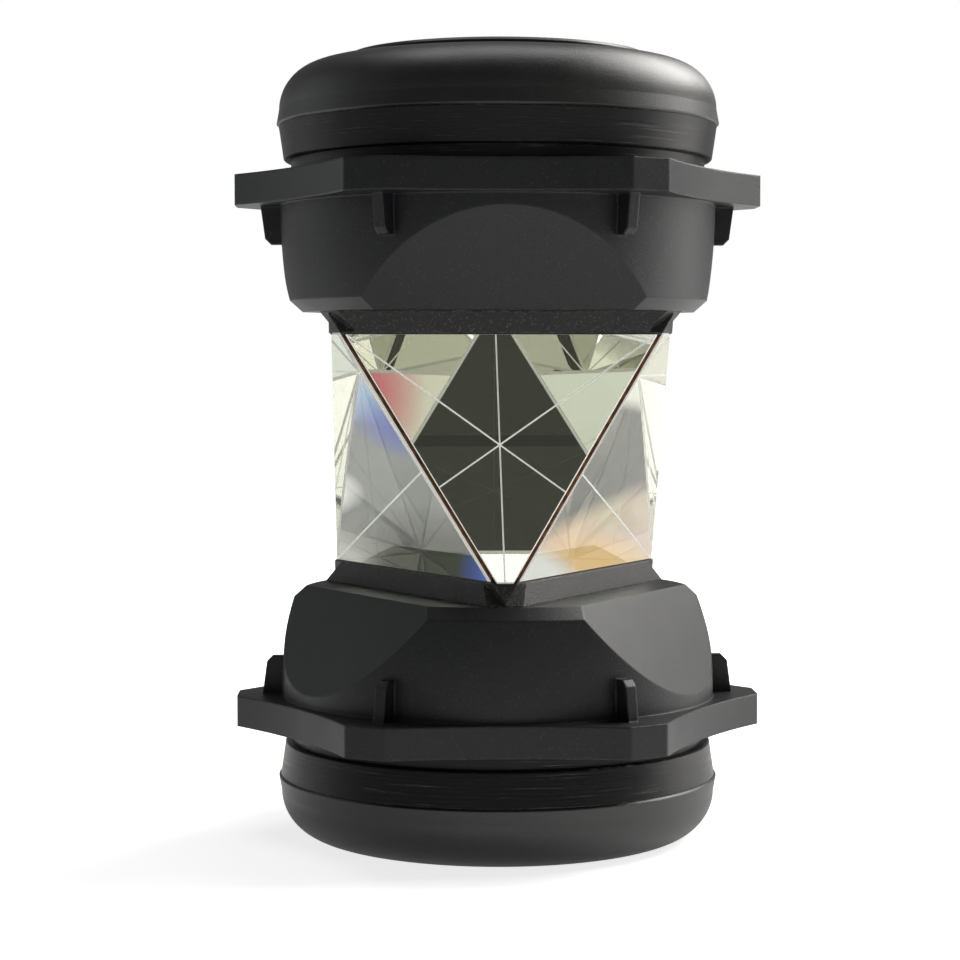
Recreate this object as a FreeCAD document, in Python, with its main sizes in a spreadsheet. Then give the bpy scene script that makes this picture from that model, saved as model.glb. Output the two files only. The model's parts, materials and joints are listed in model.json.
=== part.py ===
import FreeCAD, Part
import math
import os
import Sketcher

# Six-way corner cube reflector on a pole thread. Six glass corner cubes lie in the side octants of
# an octahedron that stands on one of its faces, so their right-angled corners all but meet at its
# centre. Each is cut off level at its tip and ends at the window's other edge. A cast seat fills
# the top octant and another the bottom one. Each seat is screwed to a moulded housing, and the
# lower half is the upper one turned over about the X axis.
# Every piece is drawn from the centre of the glass, then lifted by the height of one half.

SIZES = {
    # Glass
    "glass_edge": 52.5,        # edge of the octahedron
    "prism_gap": 0.6,          # between the coated faces of two neighbours
    "front_bevel": 0.3,        # round the front face
    "roof_bevel": 0.16,        # along the three right-angled edges
    "collar_cover": 2.93,      # from the window's edge to the level of the octahedron's own edges
    # Seat
    "apex_relief": 1.6,        # the pyramid is cut off this far from the centre
    "face_drop": 0.37,         # from the octahedron's edges to the housing's face
    "collar_lip": 0.15,        # collar outside the glass at the window
    "collar_flare": 1.2,       # and this much further out at its foot
    "corner_setback": 2.2,     # strip ends step back this far from the glass tips at the window
    "spigot_radius": 9.0,
    "spigot_depth": 2.0,
    "spigot_fit": 0.1,
    "seat_screw_circle": 15.0,
    "seat_hole_depth": 7.5,
    # Housing
    "wall": 2.6,
    "toe_margin": 0.6,         # edge of the face outside the octahedron's corners
    "toe_chamfer": 2.1,
    "toe_rise": 1.8,
    "drum_length": 16.7,
    "drum_swell": 1.2,         # the drum is a little barrelled
    "facet_inset": 8.8,        # foot of a facet inside the drum's shoulder
    "facet_angle": 34.0,       # degrees from the axis
    "facet_margin": 1.0,       # a facet ends at least this far short of the flange
    "flange_thick": 4.8,
    "waist_margin": 1.5,
    "lobe_reach": 5.5,
    "lobe_half_width": 3.33,
    "lobe_round": 0.9,
    "rib_thick": 1.8,
    "rib_drop": 6.0,
    "rib_stand": 3.1,
    "rib_taper": 0.7,
    "rib_corner": 0.9,
    "post_radius": 3.2,
    "post_web": 2.0,
    "pilot_depth": 12.0,
    # End ring and seal
    "bore_fit": 0.1,
    "ring_spigot": 3.0,
    "neck_depth": 1.7,
    "neck_height": 2.2,
    "ring_step": 0.55,         # foot of the ring inside the drum
    "ring_height": 5.4,
    "ring_flare": 0.75,
    "ring_bevel": 0.25,
    "groove_land": 1.85,       # from the seal's groove in to the screw holes
    "ring_land": 4.0,          # from the screw circle in to the ring's bore
    "seal_radius": 0.7,
    "seal_room": 0.05,         # between the seal and each wall of its groove
    # End plates and bush
    "plate_thick": 3.5,
    "plate_margin": 4.0,       # edge of a plate outside the screw circle
    "plate_rim": 1.5,          # depth of the rim in the ring's bore
    "rim_wall": 3.0,
    "boss_roof": 3.8,
    "boss_bevel": 0.4,
    "top_rise": 1.3,           # the upper boss stands out of its bumper
    "base_recess": 0.3,        # the lower boss lies inside its bumper
    "mark_radius": 1.2,        # centre mark in the upper boss
    "mark_depth": 0.8,
    "bush_radius": 11.0,
    "bush_collar": 3.5,
    "bush_collar_thick": 3.0,
    "bush_length": 18.0,
    "bush_fit": 0.05,
    "thread_radius": 6.75,     # wall of the tapped hole for a five-eighths inch pole thread
    "thread_depth": 15.0,
    "thread_lead_in": 1.0,
    # Bumper
    "bumper_height": 9.8,
    "bumper_fit": 0.1,
    "lip_step": 0.33,          # lip outside the ring's edge
    "lip_bevel": 0.3,
    "bumper_taper": 0.4,
    "shoulder_round": 7.3,
    # Screws
    "screw_radius": 1.5,
    "screw_fit": 0.05,         # in a threaded hole
    "screw_clearance": 0.15,   # in a plain hole
    "head_radius": 2.75,
    "head_height": 1.6,
    "head_fit": 0.1,
    "head_room": 0.05,         # between a head's seat and the boss inside it
    "socket_half_width": 1.0,
    "socket_depth": 1.0,
    "seat_screw_grip": 6.5,    # threaded length in use
    "end_screw_grip": 9.0,
    # Cutting shapes
    "overrun": 1.0,            # past the face they enter by
}

# Levels above the centre of the glass and radii about the axis, as formulas of the sheet's cells
OCTA = "(Dims.glass_edge / sqrt(6))"
LEG = "(Dims.glass_edge / sqrt(2))"
VERTEX = "(Dims.glass_edge / sqrt(3))"
HALF_GAP = "(Dims.prism_gap / 2)"
SEAT_FACE = "(Dims.collar_cover * sqrt(3) / 2)"
WINDOW = f"({OCTA} - Dims.collar_cover)"
FACE = f"({OCTA} + Dims.face_drop)"
FLOOR = f"({FACE} + Dims.wall)"
FLANGE_FACE = f"({FACE} + Dims.drum_length)"
FLANGE_BACK = f"({FLANGE_FACE} + Dims.flange_thick)"
POST_TOP = f"({FLANGE_BACK} - Dims.ring_spigot)"
RING_BASE = f"({FLANGE_BACK} + Dims.neck_height)"
RING_TOP = f"({RING_BASE} + Dims.ring_height)"
PLATE_TOP = f"({RING_TOP} + Dims.plate_thick)"
END = f"({RING_TOP} + Dims.bumper_height)"
UPPER_BOSS = f"({END} + Dims.top_rise)"
LOWER_BOSS = f"({END} - Dims.base_recess)"
SEAL_LEVEL = f"({FLANGE_BACK} - Dims.ring_spigot / 2)"

TOE = f"({VERTEX} + Dims.toe_margin)"
SHOULDER = f"({TOE} + Dims.toe_chamfer)"
DRUM = f"({SHOULDER} + Dims.drum_swell)"
WAIST = f"({DRUM} + Dims.waist_margin)"
LOBE = f"({WAIST} + Dims.lobe_reach)"
BORE = f"({DRUM} - Dims.wall)"
RING_FOOT = f"({DRUM} - Dims.ring_step)"
RING_EDGE = f"({RING_FOOT} + Dims.ring_flare)"
LIP = f"({RING_EDGE} + Dims.lip_step)"
TAPPED = "(Dims.screw_radius + Dims.screw_fit)"
CLEAR = "(Dims.screw_radius + Dims.screw_clearance)"
HALF_GROOVE = "(Dims.seal_room + Dims.seal_radius)"
GROOVE = f"({BORE} - 2 * {HALF_GROOVE})"
SCREW_CIRCLE = f"({GROOVE} - Dims.groove_land - {CLEAR})"
RING_BORE = f"({SCREW_CIRCLE} - Dims.ring_land)"
RIM = f"({RING_BORE} - Dims.bore_fit)"
PLATE = f"({SCREW_CIRCLE} + Dims.plate_margin)"
BOSS = f"({SCREW_CIRCLE} - Dims.head_radius - Dims.head_fit - Dims.head_room)"
FAR = f"(3 * {LOBE})"

# Tilt of a corner cube's roof edge from the axis, in degrees
ROOF_TILT = math.degrees(math.atan(math.sqrt(2)))
FACET_AZIMUTH = -90
CORNER_AZIMUTH = 90
SCALLOP_AZIMUTH = 30
LOBES = 6
SIDES = 3

doc = FreeCAD.newDocument("SixWayReflector")
cuts = []
pieces = []


def make_sheet():
    """Write the driving dimensions into a sheet, one alias to a row."""
    sheet = doc.addObject("Spreadsheet::Sheet", "Dims")
    for row, (alias, value) in enumerate(SIZES.items(), start=1):
        sheet.set(f"A{row}", alias)
        sheet.set(f"B{row}", str(value))
        sheet.setAlias(f"B{row}", alias)
    doc.recompute()


def new_body(name):
    return doc.addObject("PartDesign::Body", name)


def origin_part(body, role):
    """The body's own origin plane or axis of that role."""
    return next(part for part in body.Origin.OriginFeatures if part.Role == role)


def new_sketch(body, plane, azimuth, level):
    """A sketch on an origin plane, turned about the upright axis and lifted to a level."""
    sketch = body.newObject("Sketcher::SketchObject", f"{body.Name}Sketch")
    sketch.AttachmentSupport = [(origin_part(body, plane), "")]
    sketch.MapMode = "FlatFace"
    axis = FreeCAD.Vector(0, 0, 1) if plane == "XY_Plane" else FreeCAD.Vector(0, 1, 0)
    sketch.AttachmentOffset = FreeCAD.Placement(FreeCAD.Vector(), FreeCAD.Rotation(axis, azimuth))
    if level:
        sketch.setExpression("AttachmentOffset.Base.z", level)
    return sketch


def locate(sketch, item, point, across, up):
    """Hold a point of a sketch at two formulas, measured from the sketch's origin."""
    for kind, formula in (("DistanceX", across), ("DistanceY", up)):
        index = sketch.addConstraint(Sketcher.Constraint(kind, -1, 1, item, point, 1.0))
        sketch.setExpression(f"Constraints[{index}]", str(formula))


def outline(body, corners, plane="XZ_Plane", azimuth=0, level=None):
    """A closed outline of straight runs through corners given as pairs of formulas."""
    sketch = new_sketch(body, plane, azimuth, level)
    count = len(corners)
    turn = 2 * math.pi / count
    start = [FreeCAD.Vector(math.cos(turn * i), math.sin(turn * i), 0) for i in range(count)]
    for i in range(count):
        sketch.addGeometry(Part.LineSegment(start[i], start[(i + 1) % count]), False)
    for i in range(count):
        sketch.addConstraint(Sketcher.Constraint("Coincident", i, 2, (i + 1) % count, 1))
    for i, (across, up) in enumerate(corners):
        locate(sketch, i, 1, across, up)
    return sketch


def bow(sketch, run, centre_level, from_start):
    """Turn a run into an outward arc that is upright at the end level with its centre."""
    doc.recompute()
    ends = [sketch.getPoint(run, 1), sketch.getPoint(run, 2)]
    level = ends[0 if from_start else 1].y
    first, last = (end.x ** 2 + (end.y - level) ** 2 for end in ends)
    centre = FreeCAD.Vector((last - first) / (2 * (ends[1].x - ends[0].x)), level, 0)
    circle = Part.Circle(centre, FreeCAD.Vector(0, 0, 1), centre.distanceToPoint(ends[0]))
    angles = [math.atan2(end.y - centre.y, end.x - centre.x) for end in ends]
    sketch.toggleConstruction(run)
    arc = sketch.addGeometry(Part.ArcOfCircle(circle, *angles), False)
    for end in (1, 2):
        sketch.addConstraint(Sketcher.Constraint("Coincident", arc, end, run, end))
    index = sketch.addConstraint(Sketcher.Constraint("DistanceY", -1, 1, arc, 3, level))
    sketch.setExpression(f"Constraints[{index}]", centre_level)


def disc(body, radius, level, centre=0, azimuth=0):
    """A circle on a level plane, its centre out along an azimuth."""
    sketch = new_sketch(body, "XY_Plane", azimuth, level)
    sketch.addGeometry(Part.Circle(FreeCAD.Vector(), FreeCAD.Vector(0, 0, 1), 1), False)
    locate(sketch, 0, 3, centre, 0)
    index = sketch.addConstraint(Sketcher.Constraint("Radius", 0, 1.0))
    sketch.setExpression(f"Constraints[{index}]", radius)
    return sketch


def triangle(body, inradius, level):
    """A level triangle with one side towards -Y."""
    reach = f"(sqrt(3) * {inradius})"
    corners = [(0, f"2 * {inradius}"), (f"-{reach}", f"-{inradius}"), (reach, f"-{inradius}")]
    return outline(body, corners, "XY_Plane", level=level)


def hexagon(body, inradius, level, centre=0, azimuth=0):
    """A level hexagon with two of its flats across its azimuth."""
    corner = f"({inradius} * 2 / sqrt(3))"
    across = [f"{centre} + {inradius}", f"{centre}", f"{centre} - {inradius}"]
    corners = [
        (across[0], f"{corner} / 2"), (across[1], corner), (across[2], f"{corner} / 2"),
        (across[2], f"-{corner} / 2"), (across[1], f"-{corner}"), (across[0], f"-{corner} / 2"),
    ]
    return outline(body, corners, "XY_Plane", azimuth, level)


def opposite_wedge(body, level):
    """The level outline of the octant across a corner of the seat's own octant."""
    corner = f"(sqrt(2) * {level})"
    side = f"(({FAR} - {corner}) / sqrt(3))"
    corners = [(corner, 0), (FAR, side), (FAR, f"-{side}")]
    return outline(body, corners, "XY_Plane", CORNER_AZIMUTH, level)


def pad(body, sketch, length, symmetric=False):
    """Add an outline's material, away from the glass unless it is symmetric."""
    feature = body.newObject("PartDesign::Pad", f"{body.Name}Pad")
    feature.Profile = sketch
    feature.SideType = "Symmetric" if symmetric else "One side"
    feature.setExpression("Length", length)
    doc.recompute()
    return feature


def pocket(body, sketch, depth, symmetric=False, upward=False):
    """Cut an outline away, towards the glass unless it is symmetric or upward."""
    feature = body.newObject("PartDesign::Pocket", f"{body.Name}Pocket")
    feature.Profile = sketch
    feature.SideType = "Symmetric" if symmetric else "One side"
    feature.Reversed = upward
    feature.setExpression("Length", depth)
    doc.recompute()
    cuts.append(feature)
    return feature


def spin(body, sketch, axis="V_Axis", kind="Revolution"):
    """Turn an outline about an upright axis, as added material or as a Groove."""
    feature = body.newObject(f"PartDesign::{kind}", f"{body.Name}{kind}")
    feature.Profile = sketch
    feature.ReferenceAxis = (sketch, [axis])
    feature.Angle = 360
    doc.recompute()
    if kind == "Groove":
        cuts.append(feature)
    return feature


def spin_aside(body, corners, centre, azimuth=0, kind="Revolution"):
    """Turn an outline about an upright line that stands out along an azimuth."""
    moved = [(f"{centre} + {across}", up) for across, up in corners]
    sketch = outline(body, moved, azimuth=azimuth)
    line = sketch.addGeometry(Part.LineSegment(FreeCAD.Vector(), FreeCAD.Vector(0, 1, 0)), True)
    locate(sketch, line, 1, centre, corners[0][1])
    locate(sketch, line, 2, centre, corners[-1][1])
    return spin(body, sketch, "Axis0", kind)


def loft(body, lower, upper, kind="Additive"):
    """Straight sides between two level outlines, as added material or as a Subtractive cut."""
    feature = body.newObject(f"PartDesign::{kind}Loft", f"{body.Name}Loft")
    feature.Profile = lower
    feature.Sections = [(upper, [""])]
    feature.Ruled = True
    doc.recompute()
    if kind == "Subtractive":
        cuts.append(feature)
    return feature


def around(body, features, count):
    """Repeat features evenly about the upright axis."""
    pattern = body.newObject("PartDesign::PolarPattern", f"{body.Name}Pattern")
    pattern.Originals = features
    pattern.Axis = (origin_part(body, "Z_Axis"), [""])
    pattern.Angle = 360
    pattern.Occurrences = count
    body.Tip = pattern
    doc.recompute()


def dress(body, kind, wanted, size):
    """Round (Fillet) or bevel (Chamfer) the edges of the tip that pass a test."""
    base = body.Tip
    names = [f"Edge{i}" for i, edge in enumerate(base.Shape.Edges, start=1) if wanted(edge)]
    feature = body.newObject(f"PartDesign::{kind}", f"{body.Name}{kind}")
    feature.Base = (base, names)
    feature.setExpression("Radius" if kind == "Fillet" else "Size", size)
    doc.recompute()


def place(piece, name, upper, rotation=None, level="0"):
    """Name a piece, turn it into its half and lift it so that the lower bumper stands at zero."""
    half_turn = FreeCAD.Rotation(FreeCAD.Vector(1, 0, 0), 0 if upper else 180)
    piece.Placement = FreeCAD.Placement(FreeCAD.Vector(), half_turn * (rotation or FreeCAD.Rotation()))
    piece.setExpression("Placement.Base.z", f"{END} + {level}" if upper else f"{END} - {level}")
    piece.Label = name
    pieces.append(piece)


def make_prism(name, azimuth, upper):
    """One corner cube. Its Z axis is the roof edge to its tip, and X halves the other two."""
    body = new_body("Prism")
    steep = "sqrt(2 / 3)"
    base_end = f"(({OCTA} + {WINDOW}) / (2 * {steep}))"
    tip_end = f"(({OCTA} - {WINDOW}) / (2 * {steep}))"
    section = [
        (0, SEAT_FACE),
        (base_end, SEAT_FACE),
        (tip_end, f"{LEG} - sqrt(2) * {tip_end}"),
        (0, f"{WINDOW} * sqrt(3)"),
    ]
    pad(body, outline(body, section), FAR, symmetric=True)
    notch = f"(sqrt(2) * {HALF_GAP})"
    flanks = [
        (notch, 0), (FAR, f"{FAR} - {notch}"), (FAR, FAR), (f"-{FAR}", FAR),
        (f"-{FAR}", f"-{FAR}"), (FAR, f"-{FAR}"), (FAR, f"{notch} - {FAR}"),
    ]
    pocket(body, outline(body, flanks, "XY_Plane"), FAR, upward=True)

    outward = FreeCAD.Vector(math.sqrt(2), 0, 1).normalize()
    depths = [vertex.Point.dot(outward) for vertex in body.Tip.Shape.Vertexes]
    front, corner = max(depths), min(depths)

    def on_front(edge):
        return all(abs(vertex.Point.dot(outward) - front) < 1e-4 for vertex in edge.Vertexes)

    def on_roof(edge):
        return any(abs(vertex.Point.dot(outward) - corner) < 1e-4 for vertex in edge.Vertexes)

    dress(body, "Chamfer", on_front, "Dims.front_bevel")
    dress(body, "Chamfer", on_roof, "Dims.roof_bevel")
    turn = FreeCAD.Rotation(FreeCAD.Vector(0, 0, 1), azimuth if upper else -azimuth)
    tilt = FreeCAD.Rotation(FreeCAD.Vector(0, 1, 0), ROOF_TILT)
    place(body, name, upper, turn * tilt)


def make_seat(name, upper):
    """Cast seat: a pyramid between the prisms, the collar round the glass, a locating spigot."""
    body = new_body("Seat")
    side_top = "(Dims.glass_edge / sqrt(12) + Dims.collar_cover / sqrt(8))"
    side_foot = "(Dims.glass_edge / sqrt(12) - Dims.face_drop / sqrt(8))"
    tip_top = f"({VERTEX} - Dims.collar_cover / sqrt(8))"
    tip_foot = f"({VERTEX} + Dims.face_drop / sqrt(8))"
    strip_top = f"({side_top} + Dims.collar_lip)"
    strip_foot = f"({strip_top} + Dims.collar_flare)"

    # Flared strips along the sides, whose ends lean out from the corners of the window
    loft(body, triangle(body, strip_top, WINDOW), triangle(body, strip_foot, FACE))
    strip_end = [(f"{tip_top} - Dims.corner_setback", WINDOW), (tip_foot, FACE), (FAR, FACE), (FAR, WINDOW)]
    end_cut = outline(body, strip_end, azimuth=CORNER_AZIMUTH)
    around(body, [pocket(body, end_cut, FAR, symmetric=True)], SIDES)
    # The octahedron's own planes run on between them to its corners
    loft(body, triangle(body, side_top, WINDOW), triangle(body, side_foot, FACE))
    tip = [(tip_top, WINDOW), (tip_foot, FACE), (FAR, FACE), (FAR, WINDOW)]
    tip_cut = outline(body, tip, azimuth=CORNER_AZIMUTH)
    around(body, [pocket(body, tip_cut, FAR, symmetric=True)], SIDES)
    # Pyramid whose sides lie against the coated faces of three prisms
    skin = f"sqrt(3 / 2) * {SEAT_FACE}"
    apex = triangle(body, f"(Dims.apex_relief / sqrt(2) + {skin})", "Dims.apex_relief")
    loft(body, apex, triangle(body, f"({WINDOW} / sqrt(2) + {skin})", WINDOW))
    # Channels along its corners for the tips of the other three
    below = opposite_wedge(body, "(Dims.apex_relief - Dims.overrun)")
    channel = loft(body, below, opposite_wedge(body, WINDOW), "Subtractive")
    around(body, [channel], SIDES)

    pad(body, disc(body, "Dims.spigot_radius - Dims.spigot_fit", FACE), "Dims.spigot_depth")
    hole = disc(body, TAPPED, FACE, "Dims.seat_screw_circle", CORNER_AZIMUTH)
    around(body, [pocket(body, hole, "Dims.seat_hole_depth")], SIDES)
    place(body, name, upper)


def facet_outline(body, inward):
    """The wedge that one facet cuts away, its plane moved inward by a formula."""
    slope = "tan(Dims.facet_angle)"
    foot = f"({SHOULDER} - Dims.facet_inset - {inward} / cos(Dims.facet_angle))"
    top = f"({FLANGE_FACE} - Dims.facet_margin)"
    corners = [
        (f"{foot} - {slope} * Dims.overrun", f"{FACE} - Dims.overrun"),
        (f"{foot} + {slope} * ({top} - {FACE})", top),
        (FAR, top),
        (FAR, f"{FACE} - Dims.overrun"),
    ]
    return outline(body, corners, azimuth=FACET_AZIMUTH)


def make_core():
    """The hollow of a housing: one wall inside its skin and round the posts, with every hole."""
    body = new_body("Core")
    mouth = f"({FLANGE_BACK} + Dims.overrun)"
    spin(body, outline(body, [
        (0, FLOOR),
        (f"{SHOULDER} - Dims.wall", FLOOR),
        (BORE, f"{POST_TOP} - Dims.wall"),
        (BORE, mouth),
        (0, mouth),
    ]))
    facet = pocket(body, facet_outline(body, "Dims.wall"), FAR, symmetric=True)
    around(body, [facet], SIDES)

    height = f"({POST_TOP} - {FLOOR})"
    post = disc(body, "Dims.post_radius", FLOOR, SCREW_CIRCLE)
    post = pocket(body, post, height, upward=True)
    web = outline(body, [
        (SCREW_CIRCLE, FLOOR), (FAR, FLOOR), (FAR, POST_TOP), (SCREW_CIRCLE, POST_TOP),
    ])
    around(body, [post, pocket(body, web, "Dims.post_web", symmetric=True)], LOBES)
    pilot = disc(body, TAPPED, f"({POST_TOP} - Dims.pilot_depth)", SCREW_CIRCLE)
    around(body, [pad(body, pilot, "Dims.pilot_depth")], LOBES)

    below = f"({FACE} - Dims.overrun)"
    depth = "Dims.wall + Dims.overrun"
    pad(body, disc(body, "Dims.spigot_radius", below), depth)
    hole = disc(body, CLEAR, below, "Dims.seat_screw_circle", CORNER_AZIMUTH)
    around(body, [pad(body, hole, depth)], SIDES)
    return body


def make_housing(name, upper):
    """Moulded housing: a faceted drum with a six-lobed flange and a gusset rib under each lobe."""
    body = new_body("Housing")
    drum = outline(body, [
        (0, FACE),
        (TOE, FACE),
        (SHOULDER, f"{FACE} + Dims.toe_rise"),
        (DRUM, FLANGE_FACE),
        (DRUM, FLANGE_BACK),
        (0, FLANGE_BACK),
    ])
    bow(drum, 2, FLANGE_FACE, from_start=False)
    spin(body, drum)
    facet = pocket(body, facet_outline(body, "0"), FAR, symmetric=True)
    around(body, [facet], SIDES)

    pad(body, hexagon(body, LOBE, FLANGE_FACE), "Dims.flange_thick")
    lobe_corner = f"({LOBE} * sqrt(3) / 2 + Dims.lobe_half_width / 2)"
    squares = f"({LOBE} ^ 2 + Dims.lobe_half_width ^ 2 - {WAIST} ^ 2)"
    centre = f"({squares} / (2 * ({lobe_corner} - {WAIST})))"
    scallop = disc(body, f"{centre} - {WAIST}", FLANGE_FACE, centre, SCALLOP_AZIMUTH)
    around(body, [pocket(body, scallop, "Dims.flange_thick", upward=True)], LOBES)
    reach = body.Tip.Shape.BoundBox.XMax

    def at_lobe_corner(edge):
        low, high = edge.Vertexes[0].Point, edge.Vertexes[-1].Point
        return math.hypot(low.x, low.y) > reach and math.hypot(low.x - high.x, low.y - high.y) < 1e-6

    dress(body, "Fillet", at_lobe_corner, "Dims.lobe_round")

    root = f"({DRUM} - Dims.wall / 2)"
    foot = f"({DRUM} + Dims.rib_stand - Dims.rib_taper)"
    tip = f"({FLANGE_FACE} - Dims.rib_drop)"
    rib = outline(body, [
        (root, FLANGE_FACE),
        (root, tip),
        (f"{foot} - Dims.rib_corner", tip),
        (foot, f"{tip} + Dims.rib_corner"),
        (f"{DRUM} + Dims.rib_stand", FLANGE_FACE),
    ])
    around(body, [pad(body, rib, "Dims.rib_thick", symmetric=True)], LOBES)

    hollow = body.newObject("PartDesign::Boolean", "Hollow")
    hollow.addObjects([make_core()])
    hollow.Type = "Cut"
    body.Tip = hollow
    doc.recompute()
    place(body, name, upper)


def make_screws(name, upper, profile, circle, azimuth, count):
    """Socket screws on a circle, in one group; the profile starts at the middle of the head."""
    body = new_body("Screws")
    screw = spin_aside(body, profile, circle, azimuth)
    socket = hexagon(body, "Dims.socket_half_width", profile[0][1], circle, azimuth)
    around(body, [screw, pocket(body, socket, "Dims.socket_depth")], count)
    place(body, name, upper)


def make_seat_screws(name, upper):
    """Cheese-headed screws through the housing's floor into the seat."""
    head = f"{FLOOR} + Dims.head_height"
    point = f"{FACE} - Dims.seat_screw_grip"
    profile = [
        (0, head), ("Dims.head_radius", head), ("Dims.head_radius", FLOOR),
        ("Dims.screw_radius", FLOOR), ("Dims.screw_radius", point), (0, point),
    ]
    make_screws(name, upper, profile, "Dims.seat_screw_circle", CORNER_AZIMUTH, SIDES)


def make_end_screws(name, upper):
    """Countersunk screws through the end plate and the ring into the housing's posts."""
    point = f"{POST_TOP} - Dims.end_screw_grip"
    profile = [
        (0, PLATE_TOP),
        ("Dims.head_radius", PLATE_TOP),
        ("Dims.screw_radius", f"{PLATE_TOP} - Dims.head_height"),
        ("Dims.screw_radius", point),
        (0, point),
    ]
    make_screws(name, upper, profile, SCREW_CIRCLE, 0, LOBES)


def make_seal(name, upper):
    """Round rubber ring between the housing's bore and the end ring's spigot."""
    seal = doc.addObject("Part::Torus", "Seal")
    seal.setExpression("Radius1", f"{BORE} - Dims.seal_room - Dims.seal_radius")
    seal.setExpression("Radius2", "Dims.seal_radius")
    place(seal, name, upper, level=SEAL_LEVEL)


def make_end_ring(name, upper):
    """Turned ring: a spigot in the housing's bore, a recessed neck and a flared band."""
    body = new_body("EndRing")
    spigot = f"({BORE} - Dims.bore_fit)"
    neck = f"({DRUM} - Dims.neck_depth)"
    spin(body, outline(body, [
        (RING_BORE, POST_TOP),
        (spigot, POST_TOP),
        (spigot, f"{SEAL_LEVEL} - {HALF_GROOVE}"),
        (GROOVE, f"{SEAL_LEVEL} - {HALF_GROOVE}"),
        (GROOVE, f"{SEAL_LEVEL} + {HALF_GROOVE}"),
        (spigot, f"{SEAL_LEVEL} + {HALF_GROOVE}"),
        (spigot, FLANGE_BACK),
        (neck, FLANGE_BACK),
        (neck, RING_BASE),
        (f"{RING_FOOT} - Dims.ring_bevel", RING_BASE),
        (RING_FOOT, f"{RING_BASE} + Dims.ring_bevel"),
        (RING_EDGE, RING_TOP),
        (RING_BORE, RING_TOP),
    ]))
    hole = pocket(body, disc(body, CLEAR, RING_TOP, SCREW_CIRCLE), f"{RING_TOP} - {POST_TOP}")
    around(body, [hole], LOBES)
    place(body, name, upper)


def make_end_plate(name, upper):
    """Stepped plate. The upper one is closed with a centre mark, the lower one holds the bush."""
    body = new_body("EndPlate")
    top = UPPER_BOSS if upper else LOWER_BOSS
    roof = f"({top} - Dims.boss_roof)"
    bush = "(Dims.bush_radius + Dims.bush_fit)"
    rim_foot = f"({RING_TOP} - Dims.plate_rim)"
    heart = 0 if upper else bush
    middle = [("Dims.mark_radius", top), (0, f"{top} - Dims.mark_depth")] if upper else [(bush, top)]
    spin(body, outline(body, [
        (heart, roof),
        (f"{RIM} - Dims.rim_wall", roof),
        (f"{RIM} - Dims.rim_wall", rim_foot),
        (RIM, rim_foot),
        (RIM, RING_TOP),
        (PLATE, RING_TOP),
        (PLATE, PLATE_TOP),
        (BOSS, PLATE_TOP),
        (BOSS, f"{top} - Dims.boss_bevel"),
        (f"{BOSS} - Dims.boss_bevel", top),
    ] + middle))
    below = f"({RING_TOP} - Dims.overrun)"
    sink = [
        (0, PLATE_TOP),
        ("Dims.head_radius + Dims.head_fit", PLATE_TOP),
        (CLEAR, f"{PLATE_TOP} - Dims.head_height"),
        (CLEAR, below),
        (0, below),
    ]
    around(body, [spin_aside(body, sink, SCREW_CIRCLE, kind="Groove")], LOBES)
    place(body, name, upper)


def make_bumper(name, upper):
    """Rubber bumper, stretched over the end plate with its lip down on the ring."""
    body = new_body("Bumper")
    inner = f"({PLATE} + Dims.bumper_fit)"
    opening = f"({BOSS} + Dims.bumper_fit)"
    side = f"({LIP} - Dims.bumper_taper)"
    profile = outline(body, [
        (inner, RING_TOP),
        (f"{LIP} - Dims.lip_bevel", RING_TOP),
        (LIP, f"{RING_TOP} + Dims.lip_bevel"),
        (side, f"{END} - Dims.shoulder_round"),
        (f"{side} - Dims.shoulder_round", END),
        (opening, END),
        (opening, PLATE_TOP),
        (inner, PLATE_TOP),
    ])
    bow(profile, 3, f"{END} - Dims.shoulder_round", from_start=True)
    spin(body, profile)
    place(body, name, upper)


def make_bush(name):
    """Blind threaded bush in the lower end plate, held by its collar from inside."""
    body = new_body("Bush")
    collar = "(Dims.bush_radius + Dims.bush_collar)"
    roof = f"({LOWER_BOSS} - Dims.boss_roof)"
    inner_end = f"({LOWER_BOSS} - Dims.bush_length)"
    bottom = f"({LOWER_BOSS} - Dims.thread_lead_in - Dims.thread_depth)"
    spin(body, outline(body, [
        (0, inner_end),
        ("Dims.bush_radius", inner_end),
        ("Dims.bush_radius", f"{roof} - Dims.bush_collar_thick"),
        (collar, f"{roof} - Dims.bush_collar_thick"),
        (collar, roof),
        ("Dims.bush_radius", roof),
        ("Dims.bush_radius", LOWER_BOSS),
        ("Dims.thread_radius + Dims.thread_lead_in", LOWER_BOSS),
        ("Dims.thread_radius", f"{LOWER_BOSS} - Dims.thread_lead_in"),
        ("Dims.thread_radius", bottom),
        (0, bottom),
    ]))
    place(body, name, False)


def check_and_write():
    """Stop on a failed feature, an empty cut or a bad shape, and write each piece."""
    doc.recompute()
    for item in doc.Objects:
        if "Invalid" in item.State or "Error" in item.State:
            raise RuntimeError(f"{item.Name} has failed: {item.getStatusString()}")
    for cut in cuts:
        if not cut.Shape.Volume < cut.BaseFeature.Shape.Volume:
            raise RuntimeError(f"{cut.Name} cuts nothing")
    for piece in pieces:
        if piece.Shape.isNull() or not piece.Shape.isValid():
            raise RuntimeError(f"{piece.Label} has no valid shape")
    os.makedirs("parts", exist_ok=True)
    for piece in pieces:
        piece.Shape.exportStep(f"parts/{piece.Label}.step")
        print(piece.Label, len(piece.Shape.Solids), "solids", round(piece.Shape.Volume, 1), "mm3")


make_sheet()
# Tips down: front, and the two at the back
make_prism("prism_front", -90, False)
make_prism("prism_back_right", 30, False)
make_prism("prism_back_left", 150, False)
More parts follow.
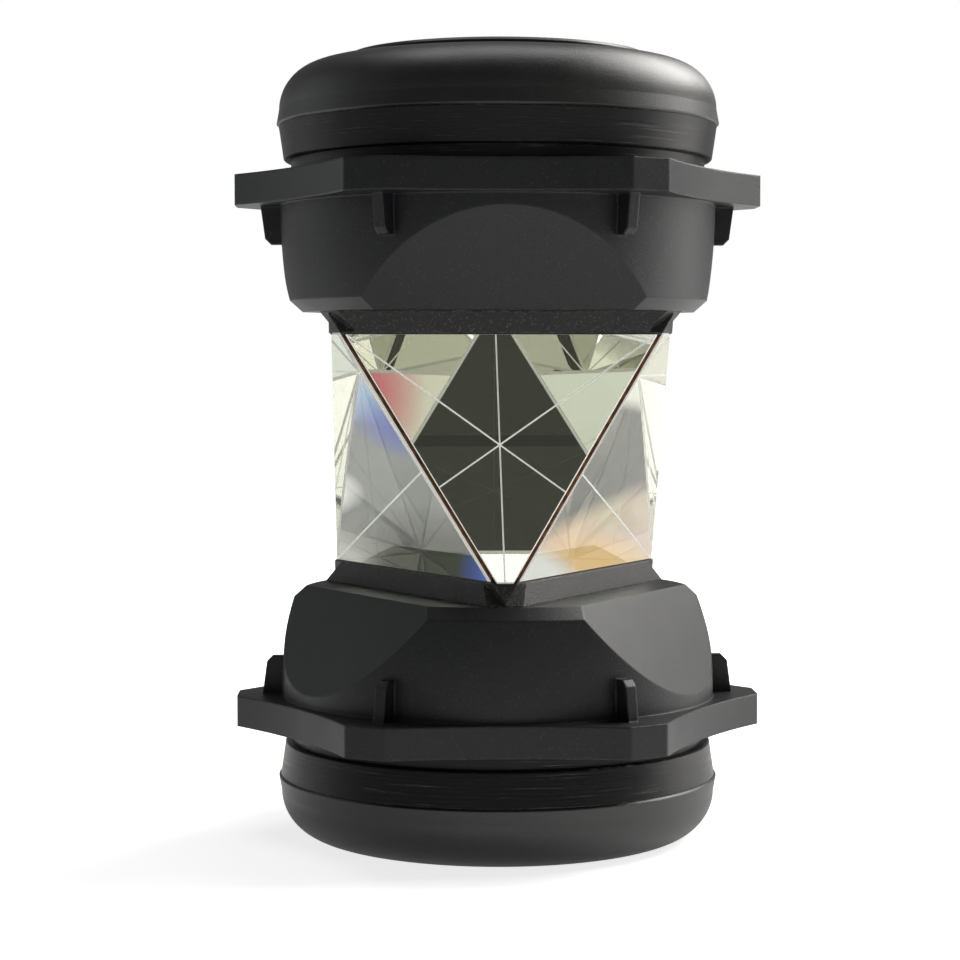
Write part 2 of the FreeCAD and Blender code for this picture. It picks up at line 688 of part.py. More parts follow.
# Tips up: back, and the two at the front
make_prism("prism_back", 90, True)
make_prism("prism_front_left", 210, True)
make_prism("prism_front_right", -30, True)
for half, is_upper in (("upper", True), ("lower", False)):
    make_seat(f"{half}_seat", is_upper)
    make_seat_screws(f"{half}_seat_screws", is_upper)
    make_housing(f"{half}_housing", is_upper)
    make_seal(f"{half}_seal", is_upper)
    make_end_ring(f"{half}_end_ring", is_upper)
    make_end_plate(f"{half}_end_plate", is_upper)
    make_end_screws(f"{half}_end_screws", is_upper)
    make_bumper(f"{half}_bumper", is_upper)
make_bush("thread_bush")
check_and_write()
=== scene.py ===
import json
import math

import bpy
import numpy as np
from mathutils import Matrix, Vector


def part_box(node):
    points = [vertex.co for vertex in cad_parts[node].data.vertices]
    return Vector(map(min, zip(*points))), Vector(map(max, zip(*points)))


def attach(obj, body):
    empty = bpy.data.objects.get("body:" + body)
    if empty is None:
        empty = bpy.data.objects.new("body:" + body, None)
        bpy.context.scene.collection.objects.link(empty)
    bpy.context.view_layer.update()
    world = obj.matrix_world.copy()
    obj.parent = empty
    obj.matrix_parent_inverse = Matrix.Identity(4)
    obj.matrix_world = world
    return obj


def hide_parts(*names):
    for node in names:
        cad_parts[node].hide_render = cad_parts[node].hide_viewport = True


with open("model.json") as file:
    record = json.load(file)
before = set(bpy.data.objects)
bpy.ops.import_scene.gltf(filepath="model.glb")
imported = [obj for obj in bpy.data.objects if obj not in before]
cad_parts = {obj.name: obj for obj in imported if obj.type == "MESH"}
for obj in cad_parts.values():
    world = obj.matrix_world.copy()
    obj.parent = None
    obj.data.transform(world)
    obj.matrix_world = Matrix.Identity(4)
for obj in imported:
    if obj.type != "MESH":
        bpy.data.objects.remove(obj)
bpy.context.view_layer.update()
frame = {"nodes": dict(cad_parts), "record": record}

# Six corner cubes of crown glass fill the waist. Each is sawn and polished flat, then silvered on
# the three faces that meet at its right-angled corner and painted over the silver. Its bevels and
# its cut tip are left ground.

PRISMS = ["front", "back_right", "back_left", "back", "front_left", "front_right"]
SILVER_TO_FRONT = -1 / math.sqrt(3)    # cosine between the normals of a coated face and the front
ANGLE_TOLERANCE = 0.01
SAME_DIRECTION = 0.999
SHRUNK_BY = 0.001                      # so that no coated face shares its plane with the seat's
PAINT_STANDS_OFF = 0.00010
SMALLEST_AREA = 1e-14                  # of twice a triangle, in square metres

low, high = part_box("prism_front")
GLASS_CENTRE = Vector((0, 0, (low.z + high.z) / 2))


def add(tree, kind, inputs=None, **settings):
    """A node in a tree. Inputs maps socket names or places to values or to other sockets."""
    node = tree.nodes.new("ShaderNode" + kind)
    for name, value in settings.items():
        setattr(node, name, value)
    for key, value in (inputs or {}).items():
        if isinstance(value, bpy.types.NodeSocket):
            tree.links.new(value, node.inputs[key])
        else:
            node.inputs[key].default_value = value
    return node


def new_finish(name):
    """A material's tree and its Principled shader."""
    material = bpy.data.materials.new(name)
    material.use_nodes = True
    tree = material.node_tree
    return material, tree, tree.nodes["Principled BSDF"]


def set_sockets(tree, shader, values):
    """Values and links on a shader's own sockets."""
    for name, value in values.items():
        if isinstance(value, bpy.types.NodeSocket):
            tree.links.new(value, shader.inputs[name])
        else:
            shader.inputs[name].default_value = value


def blend(tree, share, first, second):
    """A colour between two, each a colour or a socket."""
    mix = add(tree, "Mix", {0: share, 6: first, 7: second}, data_type="RGBA")
    return mix.outputs[2]


def scale_to(tree, value, low_in, high_in, low_out, high_out):
    """A value carried from one range to another and held inside it."""
    node = add(tree, "MapRange", {
        "Value": value,
        "From Min": low_in,
        "From Max": high_in,
        "To Min": low_out,
        "To Max": high_out,
    })
    return node.outputs["Result"]


def new_piece(name, points, faces):
    """A mesh object at the origin that rides with the part."""
    mesh = bpy.data.meshes.new(name)
    mesh.from_pydata(points, [], faces)
    piece = bpy.data.objects.new(name, mesh)
    bpy.context.scene.collection.objects.link(piece)
    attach(piece, "root")
    return piece


def closed_triangles(node):
    """A node's solid as unique corners and triangles: corners on the same micrometre are one."""
    source = frame["nodes"][node].data
    corners = np.empty(len(source.vertices) * 3)
    source.vertices.foreach_get("co", corners)
    corners = corners.reshape(-1, 3)
    whole_micrometres = np.round(corners * 1e6)
    _, first, index = np.unique(whole_micrometres, axis=0, return_index=True, return_inverse=True)
    loops = np.empty(len(source.loops), int)
    source.loops.foreach_get("vertex_index", loops)
    triangles = index.ravel()[loops].reshape(-1, 3)
    points = corners[first]
    edges = points[triangles[:, 1:]] - points[triangles[:, :1]]
    normals = np.cross(edges[:, 0], edges[:, 1])
    size = np.linalg.norm(normals, axis=1)
    whole = size > SMALLEST_AREA
    return points, triangles[whole], normals[whole] / size[whole, None]


def make_crown_glass():
    """Clear, with the faint green of crown glass."""
    material, tree, shader = new_finish("crown_glass")
    set_sockets(tree, shader, {
        "Base Color": (0.965, 0.985, 0.970, 1),
        "Roughness": 0.0,
        "IOR": 1.52,
        "Transmission Weight": 1.0,
    })
    return material


def make_silvering():
    """The mirror as seen through the glass: silver, a little yellow."""
    material, tree, shader = new_finish("silvering")
    set_sockets(tree, shader, {
        "Base Color": (0.935, 0.935, 0.905, 1),
        "Roughness": 0.0,
        "Metallic": 1.0,
    })
    return material


def make_ground_glass():
    """Bevels left from the grinding wheel, with a painted glow: a faint emission stands in for the
    light caught in the glass.
    """
    material, tree, shader = new_finish("ground_glass_painted_glow")
    place = add(tree, "TexCoord").outputs["Object"]
    pits = add(tree, "TexNoise", {"Vector": place, "Scale": 9000.0, "Detail": 2.0})
    bump = add(tree, "Bump", {"Height": pits.outputs["Fac"], "Distance": 0.00002, "Strength": 0.6})
    set_sockets(tree, shader, {
        "Base Color": (0.95, 0.96, 0.93, 1),
        "Roughness": 0.7,
        "Normal": bump.outputs["Normal"],
        # Painted glow: this faint emission makes the ground bevels shine as if lit from inside the
        # glass
        "Emission Color": (1, 0.98, 0.92, 1),
        "Emission Strength": 0.24,
    })
    return material


def make_backing_paint():
    """Copper-brown lacquer over the silver, seen only where two cubes part."""
    material, tree, shader = new_finish("backing_paint")
    place = add(tree, "TexCoord").outputs["Object"]
    brushed = add(tree, "TexNoise", {"Vector": place, "Scale": 700.0, "Detail": 3.0})
    share = scale_to(tree, brushed.outputs["Fac"], 0.35, 0.65, 0.0, 1.0)
    tone = blend(tree, share, (0.40, 0.22, 0.11, 1), (0.80, 0.50, 0.30, 1))
    set_sockets(tree, shader, {"Base Color": tone, "Roughness": 0.45})
    return material


crown_glass = make_crown_glass()
silvering = make_silvering()
ground_glass_painted_glow = make_ground_glass()
backing_paint = make_backing_paint()

paint_points, paint_triangles, corners_so_far = [], [], 0
for name in PRISMS:
    points, triangles, normals = closed_triangles(f"prism_{name}")
    points = points + (points.mean(axis=0) - points) * SHRUNK_BY
    outward = points.mean(axis=0) - np.array(GLASS_CENTRE)
    to_front = normals @ normals[(normals @ outward).argmax()]
    silvered = np.abs(to_front - SILVER_TO_FRONT) < ANGLE_TOLERANCE
    finish = np.where(silvered, 1, np.where(to_front > SAME_DIRECTION, 0, 2))
    cube = new_piece(f"corner_cube_{name}", points, triangles.tolist())
    for material in (crown_glass, silvering, ground_glass_painted_glow):
        cube.data.materials.append(material)
    cube.data.polygons.foreach_set("material_index", finish)
    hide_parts(f"prism_{name}")
    coat = points[triangles[silvered]] + normals[silvered][:, None, :] * PAINT_STANDS_OFF
    paint_points.append(coat.reshape(-1, 3))
    paint_triangles.append(np.arange(coat.shape[0] * 3).reshape(-1, 3) + corners_so_far)
    corners_so_far += coat.shape[0] * 3
paint = new_piece(
    "backing_paint", np.concatenate(paint_points), np.concatenate(paint_triangles).tolist(),
)
paint.data.materials.append(backing_paint)

# Two seats of cast aluminium carry the glass. Each has a collar of three strips round the window,
# blasted, painted black with a coarse grain, and rubbed to bare metal at its sharpest corners.

FLECK_CONTRAST = 0.22
CLOUD_ROUGHNESS = 0.06        # how much a black skin's roughness changes with its clouds


def new_effect(name, inputs, outputs):
    """An empty group with number inputs and the outputs named, each of a socket type."""
    group = bpy.data.node_groups.new(name, "ShaderNodeTree")
    for label, value in inputs.items():
        socket = group.interface.new_socket(label, in_out="INPUT", socket_type="NodeSocketFloat")
        socket.default_value = value
    for label, kind in outputs.items():
        group.interface.new_socket(label, in_out="OUTPUT", socket_type=kind)
    return group, group.nodes.new("NodeGroupInput"), group.nodes.new("NodeGroupOutput")


def make_grain():
    """Fine pits and grains of a blasted or moulded skin, with a few brighter flecks."""
    group, given, result = new_effect(
        "grain", {"Scale": 3000.0, "Fleck Share": 0.1},
        {"Height": "NodeSocketFloat", "Fleck": "NodeSocketFloat", "Cloud": "NodeSocketFloat"},
    )
    place = add(group, "TexCoord").outputs["Object"]
    fine = add(group, "TexNoise", {"Vector": place, "Scale": given.outputs["Scale"], "Detail": 2.0})
    cells = add(group, "TexVoronoi", {"Vector": place, "Scale": given.outputs["Scale"]})
    height = add(
        group, "Math", {0: fine.outputs["Fac"], 1: cells.outputs["Distance"]}, operation="SUBTRACT",
    )
    chance = add(group, "SeparateColor", {"Color": cells.outputs["Color"]})
    fleck = add(
        group, "Math", {0: chance.outputs["Red"], 1: given.outputs["Fleck Share"]},
        operation="LESS_THAN",
    )
    cloud = add(group, "TexNoise", {
        "Vector": place, "Scale": 45.0, "Detail": 4.0, "Roughness": 0.6,
    })
    group.links.new(height.outputs[0], result.inputs["Height"])
    group.links.new(fleck.outputs[0], result.inputs["Fleck"])
    group.links.new(cloud.outputs["Fac"], result.inputs["Cloud"])
    return group


def make_edge_wear():
    """Edges eased as if rounded over a radius, and a mask of where handling has rubbed them."""
    group, given, result = new_effect(
        "edge_wear", {"Radius": 0.0004, "Amount": 1.0},
        {"Normal": "NodeSocketVector", "Wear": "NodeSocketFloat"},
    )
    eased = add(group, "Bevel", {"Radius": given.outputs["Radius"]}, samples=6)
    flat = add(group, "NewGeometry").outputs["Normal"]
    likeness = add(
        group, "VectorMath", {0: eased.outputs["Normal"], 1: flat}, operation="DOT_PRODUCT",
    )
    edge = scale_to(group, likeness.outputs["Value"], 0.97, 0.80, 0.0, 1.0)
    place = add(group, "TexCoord").outputs["Object"]
    patchy = add(group, "TexNoise", {
        "Vector": place, "Scale": 900.0, "Detail": 4.0, "Roughness": 0.7,
    })
    rubbed = scale_to(group, patchy.outputs["Fac"], 0.45, 0.65, 0.0, 1.0)
    both = add(group, "Math", {0: edge, 1: rubbed}, operation="MULTIPLY")
    share = add(
        group, "Math", {0: both.outputs[0], 1: given.outputs["Amount"]},
        operation="MULTIPLY", use_clamp=True,
    )
    group.links.new(eased.outputs["Normal"], result.inputs["Normal"])
    group.links.new(share.outputs[0], result.inputs["Wear"])
    return group


def use_effect(tree, group, **values):
    """A placed effect with its own values. Its outputs are read by name."""
    node = tree.nodes.new("ShaderNodeGroup")
    node.node_tree = group
    for name, value in values.items():
        node.inputs[name.replace("_", " ")].default_value = value
    return node.outputs


def black_skin(
    name, dark, light, worn, roughness, grain, depth, eased, flecks, wear, gloss=0.5,
):
    """Black finish with grain, cloudy tone, flecks and rubbed edges."""
    material, tree, shader = new_finish(name)
    skin = use_effect(tree, GRAIN, Scale=grain, Fleck_Share=flecks)
    edge = use_effect(tree, EDGE_WEAR, Radius=eased, Amount=wear)
    tone = blend(tree, scale_to(tree, skin["Cloud"], 0.35, 0.65, 0.0, 1.0), dark, light)
    tone = blend(tree, scale_to(tree, skin["Fleck"], 0.0, 1.0, 0.0, FLECK_CONTRAST), tone, worn)
    tone = blend(tree, edge["Wear"], tone, worn)
    bump = add(tree, "Bump", {
        "Height": skin["Height"], "Distance": depth, "Strength": 1.0, "Normal": edge["Normal"],
    })
    set_sockets(tree, shader, {
        "Base Color": tone,
        "Roughness": scale_to(
            tree, skin["Cloud"], 0.3, 0.7, roughness - CLOUD_ROUGHNESS, roughness + CLOUD_ROUGHNESS,
        ),
        "Specular IOR Level": gloss,
        "Normal": bump.outputs["Normal"],
    })
    return material


def dress(material, *nodes):
    """Give CAD nodes a finish by their material slots."""
    for name in nodes:
        slots = frame["nodes"][name].data.materials
        if len(slots):
            for place in frame["nodes"][name].material_slots:
                place.link = "OBJECT"
                place.material = material
        else:
            slots.append(material)


GRAIN = make_grain()
EDGE_WEAR = make_edge_wear()
seat_paint = black_skin(
    "seat_paint",
    dark=(0.008, 0.008, 0.009, 1), light=(0.016, 0.016, 0.016, 1), worn=(0.36, 0.34, 0.29, 1),
    roughness=0.42, grain=5500.0, depth=0.00007, eased=0.00035, flecks=0.05, wear=0.9,
)
dress(seat_paint, "upper_seat", "lower_seat")

# Two housings are moulded in glass-filled black plastic, alike, the lower one turned over. The
# tool's fine spark grain shows all over, and handling has polished the edges of facets and lobes.

moulded_plastic = black_skin(
    "moulded_plastic",
    dark=(0.007, 0.008, 0.010, 1), light=(0.012, 0.013, 0.0155, 1), worn=(0.10, 0.10, 0.095, 1),
    roughness=0.42, grain=5500.0, depth=0.000025, eased=0.00045, flecks=0.03, wear=0.4,
)
dress(moulded_plastic, "upper_housing", "lower_housing")

# A round rubber seal lies in a groove of each end ring. It is moulded, matt, and hidden once the
# ring is in its bore.

seal_rubber = black_skin(
    "seal_rubber",
    dark=(0.012, 0.012, 0.012, 1), light=(0.02, 0.02, 0.02, 1), worn=(0.04, 0.04, 0.04, 1),
    roughness=0.6, grain=5000.0, depth=0.00003, eased=0.0001, flecks=0.0, wear=0.0,
)
dress(seal_rubber, "upper_seal", "lower_seal")

# End rings are turned from aluminium bar and anodised black. The lathe leaves fine lines round
# them, and cloths and cases have scratched the flared band.

LINE_ROUGHNESS = 0.08         # how much a turned surface's roughness changes with its lines


def make_turned_lines():
    """Streaks that run round the axis: noise stretched far along level directions."""
    group, given, result = new_effect(
        "turned_lines", {"Scale": 60.0, "Stretch": 60.0},
        {"Height": "NodeSocketFloat", "Scratch": "NodeSocketFloat"},
    )
    place = add(group, "TexCoord").outputs["Object"]
    parts = add(group, "SeparateXYZ", {"Vector": place})
    stretch = given.outputs["Stretch"]
    tall = add(group, "Math", {0: parts.outputs["Z"], 1: stretch}, operation="MULTIPLY")
    radius = add(group, "VectorMath", {0: place, 1: (1, 1, 0)}, operation="MULTIPLY")
    radius = add(group, "VectorMath", {0: radius.outputs[0]}, operation="LENGTH")
    out = add(group, "Math", {0: radius.outputs["Value"], 1: stretch}, operation="MULTIPLY")
    level = add(group, "Math", {0: tall.outputs[0], 1: out.outputs[0]}, operation="ADD")
    along = add(group, "CombineXYZ", {
        "X": parts.outputs["X"], "Y": parts.outputs["Y"], "Z": level.outputs[0],
    })
    lines = add(group, "TexNoise", {
        "Vector": along.outputs[0],
        "Scale": given.outputs["Scale"],
        "Detail": 5.0,
        "Roughness": 0.7,
    })
    deep = scale_to(group, lines.outputs["Fac"], 0.60, 0.72, 0.0, 1.0)
    group.links.new(lines.outputs["Fac"], result.inputs["Height"])
    group.links.new(deep, result.inputs["Scratch"])
    return group


def turned_finish(name, tone, bare, roughness, depth, scratched, metal, gloss=0.5):
    """Metal off the lathe: lines round the axis, scratches down to a barer tone."""
    material, tree, shader = new_finish(name)
    lines = use_effect(tree, TURNED_LINES)
    edge = use_effect(tree, EDGE_WEAR, Radius=0.00025, Amount=0.5)
    colour = blend(tree, scale_to(tree, lines["Scratch"], 0.0, 1.0, 0.0, scratched), tone, bare)
    colour = blend(tree, edge["Wear"], colour, bare)
    bump = add(tree, "Bump", {
        "Height": lines["Height"], "Distance": depth, "Strength": 1.0, "Normal": edge["Normal"],
    })
    set_sockets(tree, shader, {
        "Base Color": colour,
        "Roughness": scale_to(
            tree, lines["Height"], 0.3, 0.7, roughness - LINE_ROUGHNESS, roughness + LINE_ROUGHNESS,
        ),
        "Metallic": metal,
        "Specular IOR Level": gloss,
        "Normal": bump.outputs["Normal"],
    })
    return material


TURNED_LINES = make_turned_lines()
anodised_ring = turned_finish(
    "anodised_ring", tone=(0.006, 0.006, 0.007, 1), bare=(0.30, 0.30, 0.29, 1),
    roughness=0.34, depth=0.00004, scratched=0.6, metal=0.0, gloss=0.3,
)
dress(anodised_ring, "upper_end_ring", "lower_end_ring")

# End plates are turned and anodised like the rings. Only their bosses show, through the bumpers:
# the upper one closed with a centre mark, the lower one round the bush.

anodised_plate = turned_finish(
    "anodised_plate", tone=(0.016, 0.016, 0.017, 1), bare=(0.08, 0.08, 0.08, 1),
    roughness=0.34, depth=0.00003, scratched=0.3, metal=0.0,
)
dress(anodised_plate, "upper_end_plate", "lower_end_plate")

# Machine screws of plain steel hold each seat and each end plate. All are out of sight.

screw_steel = turned_finish(
    "screw_steel", tone=(0.50, 0.50, 0.51, 1), bare=(0.65, 0.65, 0.65, 1),
    roughness=0.32, depth=0.00002, scratched=0.3, metal=1.0,
)
dress(screw_steel, "upper_seat_screws", "lower_seat_screws", "upper_end_screws", "lower_end_screws")

# The bush in the lower plate is turned from stainless steel and tapped for a survey pole,
# five-eighths of an inch with eleven threads to the inch.

THREAD_PITCH = 0.0254 / 11
THREAD_DEPTH = 0.00119
CREST_SHARE = 0.30           # of the pitch, flat at the bore's own radius
ROOT_SHARE = 0.12
ROUND_STEPS = 160
STEPS_PER_TURN = 16
ON_AXIS = 1e-6               # radius of the rings that close the ends
SAME_RADIUS = 1e-5

bush_low, bush_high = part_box("thread_bush")
mount = next(m for m in frame["record"]["mounts"] if m["name"] == "pole_thread")
BORE = mount["dims"]["r_mm"] / 1000
THREAD_LOW = mount["pos_m"][2] - mount["dims"]["length_mm"] / 2000
THREAD_HIGH = mount["pos_m"][2] + mount["dims"]["length_mm"] / 2000


def rings_to_faces(rings, steps):
    """Quads between neighbouring rings of a closed round grid, counted ring by ring."""
    ring, step = np.meshgrid(np.arange(rings - 1), np.arange(steps), indexing="ij")
    here, after = ring * steps + step, ring * steps + (step + 1) % steps
    return np.stack([here, after, after + steps, here + steps], axis=-1).reshape(-1, 4)


def threaded_bore():
    """Rings of the bore from mouth to bottom. Radius is the bore's plus the depth times a
    trapezium wave of (height / pitch - angle / turn), which fades out at both ends."""
    heights = np.arange(THREAD_LOW, THREAD_HIGH, THREAD_PITCH / STEPS_PER_TURN)
    angles = np.arange(ROUND_STEPS) * 2 * math.pi / ROUND_STEPS
    level, angle = np.meshgrid(heights, angles, indexing="ij")
    phase = (level / THREAD_PITCH - angle / (2 * math.pi)) % 1
    slope = (1 - CREST_SHARE - ROOT_SHARE) / 2
    wave = np.clip((np.abs(phase - 0.5) * -2 + 1 - CREST_SHARE) / (2 * slope), 0, 1)
    fade = np.clip(np.minimum(level - THREAD_LOW, THREAD_HIGH - level) / THREAD_PITCH * 2, 0, 1)
    radius = BORE + THREAD_DEPTH * wave * fade
    return np.stack([radius * np.cos(angle), radius * np.sin(angle), level], axis=-1)


def plain_rings(profile):
    """One ring of points for each radius and height of a profile."""
    angles = np.arange(ROUND_STEPS) * 2 * math.pi / ROUND_STEPS
    radius, level = np.array(profile).T
    return np.stack([
        radius[:, None] * np.cos(angles), radius[:, None] * np.sin(angles), level[:, None] + 0 * angles,
    ], axis=-1)


cad_points, _, _ = closed_triangles("thread_bush")
cad_radius = np.hypot(cad_points[:, 0], cad_points[:, 1])
collar_radius = cad_radius.max()
collar_points = cad_points[cad_radius > collar_radius - SAME_RADIUS]
collar_low, collar_high = collar_points[:, 2].min(), collar_points[:, 2].max()
body_radius = cad_radius[cad_points[:, 2] > bush_high.z - SAME_RADIUS].max()
lead_radius = BORE + (THREAD_LOW - bush_low.z)
bush_rings = np.concatenate([
    plain_rings([(ON_AXIS, THREAD_HIGH), (BORE, THREAD_HIGH)]),
    threaded_bore()[::-1],
    plain_rings([
        (BORE, THREAD_LOW),
        (lead_radius, bush_low.z),
        (body_radius, bush_low.z),
        (body_radius, collar_low),
        (collar_radius, collar_low),
        (collar_radius, collar_high),
        (body_radius, collar_high),
        (body_radius, bush_high.z),
        (ON_AXIS, bush_high.z),
    ]),
])
bush_faces = rings_to_faces(len(bush_rings), ROUND_STEPS).tolist()
bush = new_piece("threaded_bush", bush_rings.reshape(-1, 3), bush_faces)
bush_steel = turned_finish(
    "bush_steel", tone=(0.52, 0.51, 0.49, 1), bare=(0.68, 0.67, 0.66, 1),
    roughness=0.28, depth=0.00002, scratched=0.4, metal=1.0,
)
bush.data.materials.append(bush_steel)
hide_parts("thread_bush")

# Bumpers are moulded in black rubber and stretched over the end plates, with the lip down on the
# ring. The skin is satin, a little greyed on the shoulder, with dust in its grain.

bumper_rubber = black_skin(
    "bumper_rubber",
    dark=(0.006, 0.007, 0.0075, 1), light=(0.010, 0.011, 0.0115, 1), worn=(0.07, 0.07, 0.07, 1),
    roughness=0.38, grain=5500.0, depth=0.000018, eased=0.0003, flecks=0.01, wear=0.2, gloss=0.85,
)
dress(bumper_rubber, "upper_bumper", "lower_bumper")

# The reflector stands on a white table before a white sheet, with a large soft lamp to the right,
# a weaker one to the left and one above.

TABLE_SIZE = 6.0
TABLE_NEAR, TABLE_FAR = 0.08, 0.30          # from the axis, where the paper's glow rises
GLOW_NEAR, GLOW_FAR, GLOW_SHEEN = 0.78, 1.0, 0.26
SHEEN_FRONT, SHEEN_BACK, FILL = 0.13, 0.30, 0.06
SHEET = (0.95, 0.95, 0.95, 1)
BACK_WALL = (0.45, 0.46, 0.44, 1)
ROOM_LEFT = (0.86, 0.90, 0.83, 1)
ROOM_RIGHT = (0.88, 0.86, 0.76, 1)
CEILING = (0.60, 0.61, 0.55, 1)
# Things about the camera that the glass sends back. Each has its place round from the front and
# up and its half-angle, all in degrees, then the softness of its edge and its tone.
ROOM_THINGS = [
    (2.6, 3.7, 2.0, 0.25, (0.23, 0.24, 0.25, 1)),
    (0.8, 2.9, 1.0, 0.6, (0.24, 0.25, 0.25, 1)),
    (1.2, 5.1, 1.5, 0.5, (0.19, 0.20, 0.20, 1)),
    (0.6, 0.1, 1.3, 0.6, (0.68, 0.52, 0.46, 1)),
    (4.9, 3.3, 0.6, 0.8, (0.32, 0.48, 0.74, 1)),
    (4.2, 4.1, 0.7, 0.8, (0.03, 0.07, 0.50, 1)),
    (-1.2, 0.0, 0.6, 0.8, (0.62, 0.47, 0.44, 1)),
    (-0.5, 1.1, 0.6, 0.8, (0.60, 0.50, 0.32, 1)),
    (0.0, 2.0, 0.6, 0.8, (0.68, 0.42, 0.24, 1)),
    (1.2, 1.4, 0.6, 0.7, (0.84, 0.52, 0.18, 1)),
    (1.4, 2.6, 0.7, 0.3, (0.95, 0.95, 0.95, 1)),
    (-0.3, 5.2, 1.4, 0.4, (0.02, 0.025, 0.02, 1)),
    (0.0, 7.3, 1.0, 0.7, (0.07, 0.15, 0.80, 1)),
    (43.3, 9.6, 1.1, 0.9, (0.72, 0.16, 0.22, 1)),
]
# The camera itself, dark, as wide as the front cube's opening shows it: its place round and up,
# and how far it reaches to each side and up, in degrees
CAMERA_DARK = (0.042, 0.0435, 0.037, 1)
CAMERA_SEEN = (-2.45, 2.10, 2.50, 3.70)


def make_table_white():
    """White paper. Seen directly or through the glass it is as bright as the sheet behind it."""
    material, tree, shader = new_finish("table_white")
    path = add(tree, "LightPath").outputs
    seen = add(
        tree, "Math", {0: path["Is Camera Ray"], 1: path["Is Transmission Ray"]}, operation="MAXIMUM",
    )
    set_sockets(tree, shader, {
        "Base Color": (0.80, 0.80, 0.80, 1),
        "Roughness": 0.9,
        "Specular IOR Level": 0.0,
        "Emission Color": (1, 1, 1, 1),
    })
    place = add(tree, "TexCoord").outputs["Object"]
    far = add(tree, "VectorMath", {0: place}, operation="LENGTH").outputs["Value"]
    level = scale_to(tree, far, TABLE_NEAR, TABLE_FAR, GLOW_NEAR, GLOW_FAR)
    glow = scale_to(tree, seen.outputs[0], 0.0, 1.0, GLOW_SHEEN, level)
    tree.links.new(glow, shader.inputs["Emission Strength"])
    return material


half = TABLE_SIZE / 2
table_mesh = bpy.data.meshes.new("table")
table_corners = [(-half, -half, 0), (half, -half, 0), (half, half, 0), (-half, half, 0)]
table_mesh.from_pydata(table_corners, [], [(0, 1, 2, 3)])
table = bpy.data.objects.new("table", table_mesh)
bpy.context.scene.collection.objects.link(table)
table_mesh.materials.append(make_table_white())


def make_studio():
    """White sheet behind, a pale room in front, and the dark camera that the glass sends back."""
    world = bpy.data.worlds.new("studio")
    world.use_nodes = True
    sky = world.node_tree
    sky.nodes.clear()
    ray = add(sky, "TexCoord").outputs["Generated"]
    side = add(sky, "SeparateXYZ", {"Vector": ray}).outputs
    room = blend(sky, scale_to(sky, side["X"], -0.35, 0.35, 0.0, 1.0), ROOM_LEFT, ROOM_RIGHT)
    room = blend(sky, scale_to(sky, side["Z"], 0.35, 0.65, 0.0, 1.0), room, CEILING)
    room = blend(sky, scale_to(sky, side["Y"], -0.2, 0.4, 0.0, 1.0), room, BACK_WALL)
    sheet = add(sky, "Math", {
        0: scale_to(sky, side["Y"], -0.6, 0.3, 0.0, 1.0),
        1: scale_to(sky, side["Z"], 0.12, 0.30, 1.0, 0.0),
    }, operation="MULTIPLY")
    room = blend(sky, sheet.outputs[0], room, SHEET)
    for round_by, up_by, cone, soft, tone in ROOM_THINGS:
        turn, rise = math.radians(round_by), math.radians(up_by)
        aim = (math.sin(turn) * math.cos(rise), -math.cos(turn) * math.cos(rise), math.sin(rise))
        nearness = add(sky, "VectorMath", {0: ray, 1: aim}, operation="DOT_PRODUCT").outputs["Value"]
        outer = math.cos(math.radians(cone * (1 + soft)))
        inner = math.cos(math.radians(cone * (1 - soft)))
        room = blend(sky, scale_to(sky, nearness, outer, inner, 0.0, 1.0), room, tone)
    turn, rise, wide, tall = [math.radians(angle) for angle in CAMERA_SEEN]
    across = (math.cos(turn), math.sin(turn), 0)
    upward = (-math.sin(turn) * math.sin(rise), math.cos(turn) * math.sin(rise), math.cos(rise))
    offsets = []
    for way, reach in ((across, wide), (upward, tall)):
        off = add(sky, "VectorMath", {0: ray, 1: way}, operation="DOT_PRODUCT").outputs["Value"]
        off = add(sky, "Math", {0: off}, operation="ABSOLUTE")
        offsets.append(add(sky, "Math", {0: off.outputs[0], 1: reach}, operation="DIVIDE").outputs[0])
    reached = add(sky, "Math", {0: offsets[0], 1: offsets[1]}, operation="ADD")
    dark = scale_to(sky, reached.outputs[0], 1.0, 1.2, 1.0, 0.0)
    ahead = scale_to(sky, side["Y"], -0.9, -0.8, 1.0, 0.0)
    dark = add(sky, "Math", {0: dark, 1: ahead}, operation="MULTIPLY")
    room = blend(sky, dark.outputs[0], room, CAMERA_DARK)
    path = add(sky, "LightPath").outputs
    seen = add(sky, "Background", {"Color": room, "Strength": 1.0})
    sheen = add(sky, "Background", {
        "Color": room, "Strength": scale_to(sky, side["Y"], -0.5, 0.5, SHEEN_FRONT, SHEEN_BACK),
    })
    fill = add(sky, "Background", {"Color": room, "Strength": FILL})
    shade = add(sky, "MixShader", {0: path["Is Glossy Ray"], 1: fill.outputs[0], 2: sheen.outputs[0]})
    shade = add(sky, "MixShader", {
        0: path["Is Transmission Ray"], 1: shade.outputs[0], 2: seen.outputs[0],
    })
    white = add(sky, "Background", {"Color": (1, 1, 1, 1), "Strength": 1.0})
    final = add(sky, "MixShader", {
        0: path["Is Camera Ray"], 1: shade.outputs[0], 2: white.outputs[0],
    })
    add(sky, "OutputWorld", {"Surface": final.outputs[0]})
    return world


bpy.context.scene.world = make_studio()


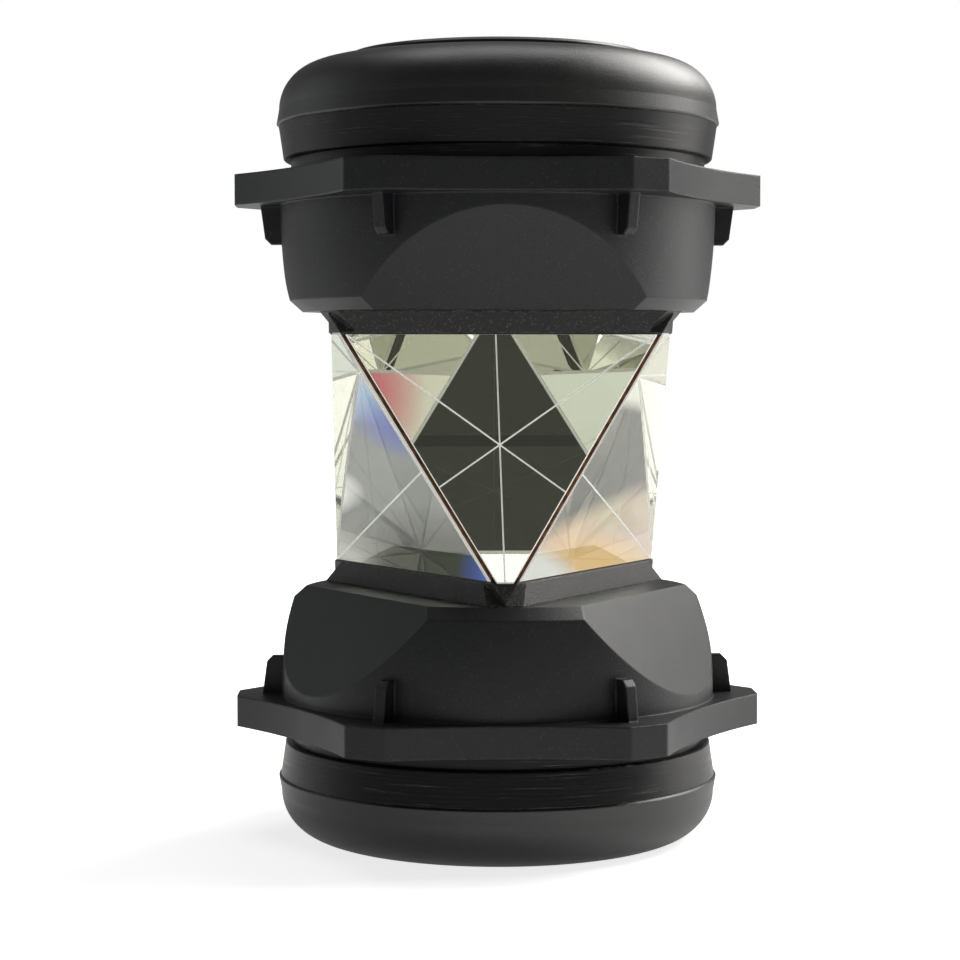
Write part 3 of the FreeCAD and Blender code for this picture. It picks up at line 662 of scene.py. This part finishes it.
def new_lamp(name, place, width, height, watts, colour=(1, 1, 1)):
    """A soft box that faces the glass."""
    light = bpy.data.lights.new(name, "AREA")
    light.shape = "RECTANGLE"
    light.size, light.size_y, light.energy, light.color = width, height, watts, colour
    lamp = bpy.data.objects.new(name, light)
    bpy.context.scene.collection.objects.link(lamp)
    lamp.location = place
    lamp.rotation_euler = (GLASS_CENTRE - Vector(place)).to_track_quat("-Z", "Y").to_euler()


new_lamp("lamp_right", (0.45, 0.24, 0.50), 0.50, 0.40, 5.4, (1, 0.98, 0.95))
new_lamp("lamp_right_low", (0.60, 0.16, 0.06), 0.40, 0.30, 1.0, (1, 0.98, 0.95))
new_lamp("lamp_left", (-0.55, 0.20, 0.20), 0.40, 0.50, 0.18, (0.95, 0.98, 1))
new_lamp("lamp_top", (0.0, 0.10, 0.75), 0.60, 0.40, 1.5)

# The camera stands 37 cm from the axis, just above the middle of the glass, a little to the left of
# the front corner.

CAMERA_DISTANCE = 0.370205
CAMERA_ABOVE_GLASS = 0.013773
CAMERA_ROUND = math.radians(-2.262)
CAMERA_DOWN = math.radians(2.832)
CAMERA_ASIDE = math.radians(0.43)
FOCAL_PIXELS = 2332.659
FRAME_PIXELS = 960

camera_data = bpy.data.cameras.new("camera")
camera = bpy.data.objects.new("camera", camera_data)
bpy.context.scene.collection.objects.link(camera)
bpy.context.scene.camera = camera
camera_data.sensor_width = 36
camera_data.lens = camera_data.sensor_width * FOCAL_PIXELS / FRAME_PIXELS
camera_data.clip_start = 0.01
camera.location = (
    math.sin(CAMERA_ROUND) * CAMERA_DISTANCE,
    -math.cos(CAMERA_ROUND) * CAMERA_DISTANCE,
    GLASS_CENTRE.z + CAMERA_ABOVE_GLASS,
)
camera.rotation_euler = (math.pi / 2 - CAMERA_DOWN, 0, CAMERA_ROUND + CAMERA_ASIDE)

bpy.context.scene.view_settings.view_transform = "Standard"
# A ray meets up to a dozen faces of the glass before it leaves
cycles = bpy.context.scene.cycles
cycles.max_bounces = cycles.glossy_bounces = cycles.transmission_bounces = 24
